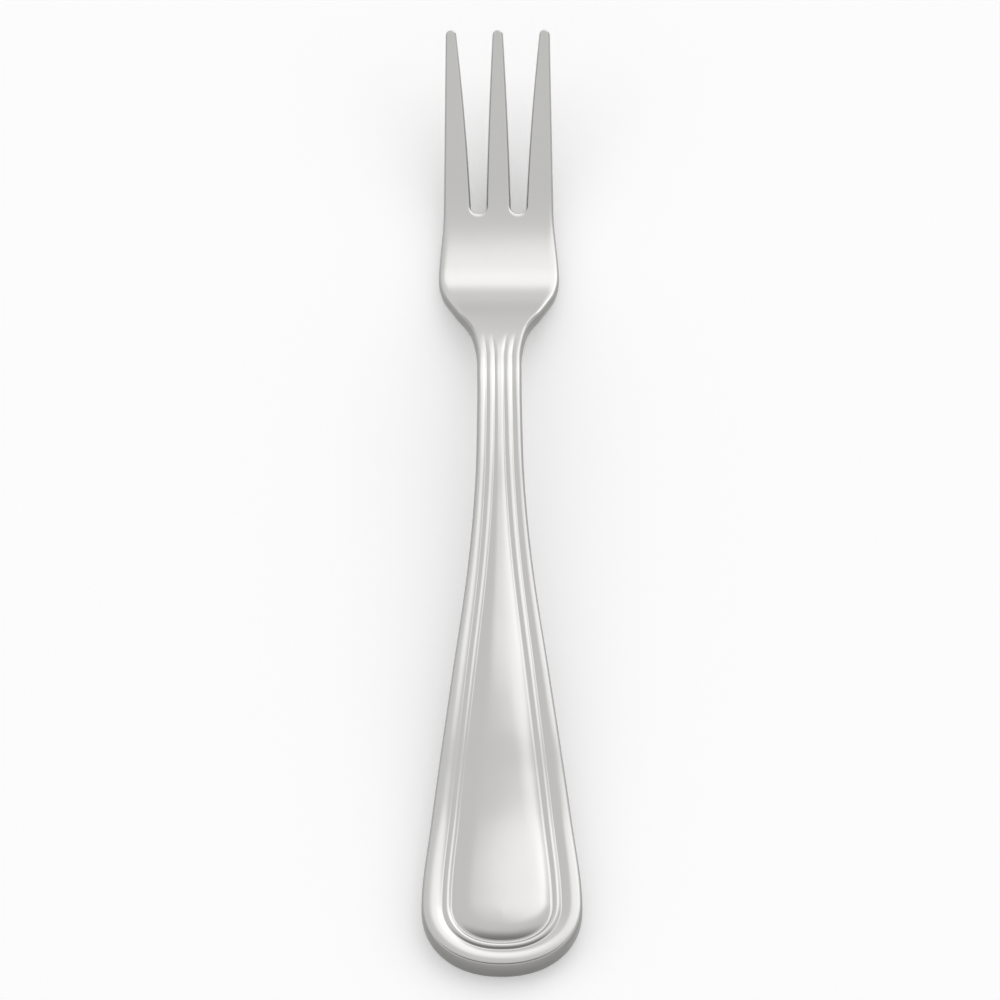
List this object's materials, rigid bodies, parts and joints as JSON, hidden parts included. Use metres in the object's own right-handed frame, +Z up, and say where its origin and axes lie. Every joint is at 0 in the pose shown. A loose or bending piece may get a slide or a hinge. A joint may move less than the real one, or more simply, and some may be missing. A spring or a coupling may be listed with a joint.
{
  "type": "oyster fork",
  "caption": "Small stamped steel oyster fork with slim tapered tines, a flat head, a narrow arched neck and a flared round-ended handle with a coined rim-and-thread border.",
  "frame": {"origin": "on the surface the fork lies on, under the middle of its length and width", "axes": "+Y along the fork towards the tips of the tines, +Z up with the fork on its back and the tines curling up, +X across"},
  "size_m": [0.0184, 0.14, 0.0076],
  "materials": {
    "steel": "polished stainless steel"
  },
  "bodies": {
    "root": {"fork": "steel"}
  },
  "joints": []
}
